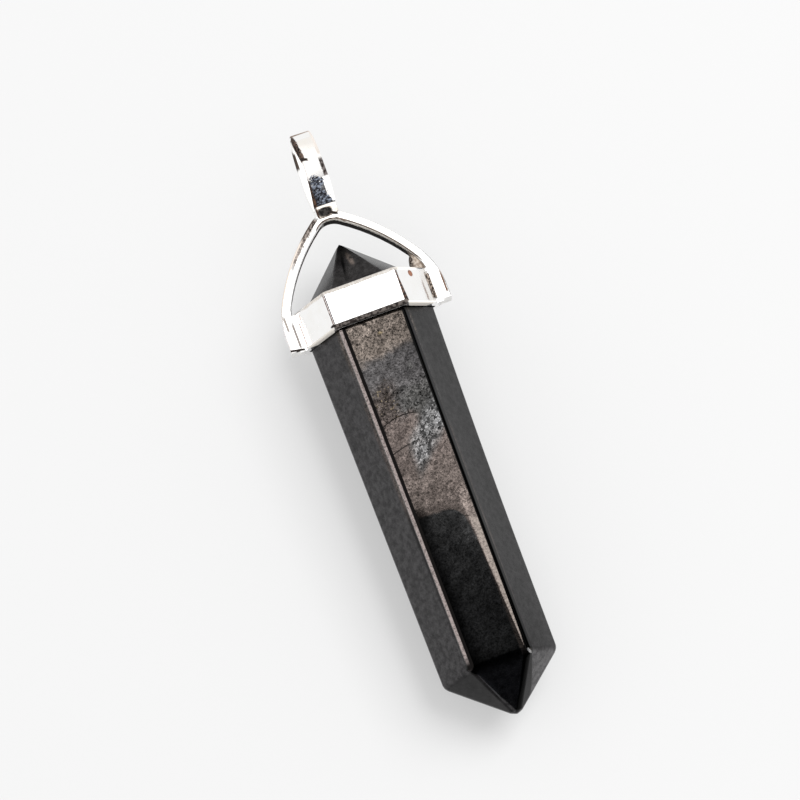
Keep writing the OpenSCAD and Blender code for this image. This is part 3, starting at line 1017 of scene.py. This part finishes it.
def setLights(camera):
    # the two panels overhead hang square to the camera
    sideways = camera.matrix_world.to_3x3() @ Vector((1, 0, 0))
    turn = math.atan2(sideways.y, sideways.x)
    above = 0.3
    panels = (
        ("wideBox", (-0.040, 0.060), (0.0455, 0.215), 1.6),
        ("nearBox", (-0.040, 0.0280), (0.0297, 0.0454), 1.6),
        ("cornerBox", (0.0088, 0.0280), (0.0281, 0.0296), 1.6),
        ("stepBox", (0.0102, 0.0280), (0.0262, 0.0280), 1.6),
        ("tailBox", (0.0110, 0.0280), (0.0225, 0.0261), 1.6),
        ("lowBox", (0.0281, 0.060), (-0.010, 0.0454), 2.9),
    )
    for name, across, along, bright in panels:
        middle = Vector(((across[0] + across[1]) / 2, (along[0] + along[1]) / 2, 0))
        size = (across[1] - across[0], along[1] - along[0])
        place = Matrix.Rotation(turn, 3, "Z") @ middle + Vector((0, 0, above))
        addLamp(name, place, size, bright * math.pi * size[0] * size[1], turn, diffuse=False)
    addLamp("keyBox", (0.33, 0.08, 0.57), (0.40, 0.40), 4.5, shiny=False)


def setWorld():
    world = bpy.data.worlds.new("studio")
    bpy.context.scene.world = world
    world.use_nodes = True
    world.cycles.sampling_method = "NONE"
    tree = world.node_tree
    tree.nodes.clear()
    start = Wire(tree)
    way = start.node("ShaderNodeTexCoord", None, None, "Generated")
    x, y, z = (way.axis(a) for a in "XYZ")
    creamWall = y.over(0.50, 0.62)
    leftBox = x.over(-0.72, -0.79) * abs(y).over(0.62, 0.45) * z.over(0.18, 0.28)
    rightCard = x.over(0.74, 0.80) * abs(y).over(0.50, 0.40) * z.over(0.3, 0.4)
    glow = z.over(0.93, 1.0) * (0.34 + y.over(0.055, 0.11) * 0.62)
    colour = glow.mix(rgb(0.080, 0.085, 0.095), rgb(1, 1, 1))
    colour = creamWall.mix(colour, rgb(0.93, 0.90, 0.86))
    colour = rightCard.mix(colour, rgb(0.93, 0.92, 0.91))
    colour = leftBox.mix(colour, rgb(2.6, 2.32, 2.26))
    colour = z.over(0.0, -0.02).mix(colour, rgb(0.9, 0.9, 0.9))
    shiny = start.node("ShaderNodeLightPath", None, None, "Is Glossy Ray")
    seen = shiny.mix(rgb(1, 1, 1), colour)
    light = start.node("ShaderNodeBackground", None, {"Color": seen, "Strength": 1.0})
    start.node("ShaderNodeOutputWorld", None, {"Surface": light})


def makeFloor():
    bm = bmesh.new()
    bmesh.ops.create_grid(bm, x_segments=1, y_segments=1, size=1.5)
    floor = meshObject("paleFloor", bm)
    material = bpy.data.materials.new("paleTable")
    material.use_nodes = True
    shader = material.node_tree.nodes["Principled BSDF"]
    shader.inputs["Base Color"].default_value = rgb(0.305, 0.305, 0.305)
    shader.inputs["Roughness"].default_value = 1.0
    shader.inputs["Specular IOR Level"].default_value = 0.0
    shader.inputs["Emission Color"].default_value = rgb(1, 1, 1)
    shader.inputs["Emission Strength"].default_value = 0.398
    floor.data.materials.append(material)


camera = setCamera()
print("camera set")

stone = makeStone()
stone.data.materials.append(shungiteMaterial())
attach(stone, "root")
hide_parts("stone")
print("stone cut:", len(stone.data.polygons), "faces")

cap = makeCap()
cap.data.materials.append(silverMaterial())
cap.visible_shadow = False      # the plate throws as much light on the floor as it takes
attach(cap, "root")
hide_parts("cap")
print("cap cast:", len(cap.data.polygons), "faces")

makeFloor()
setLights(camera)
setWorld()
bpy.context.scene.view_settings.view_transform = "Standard"
print("studio lit")
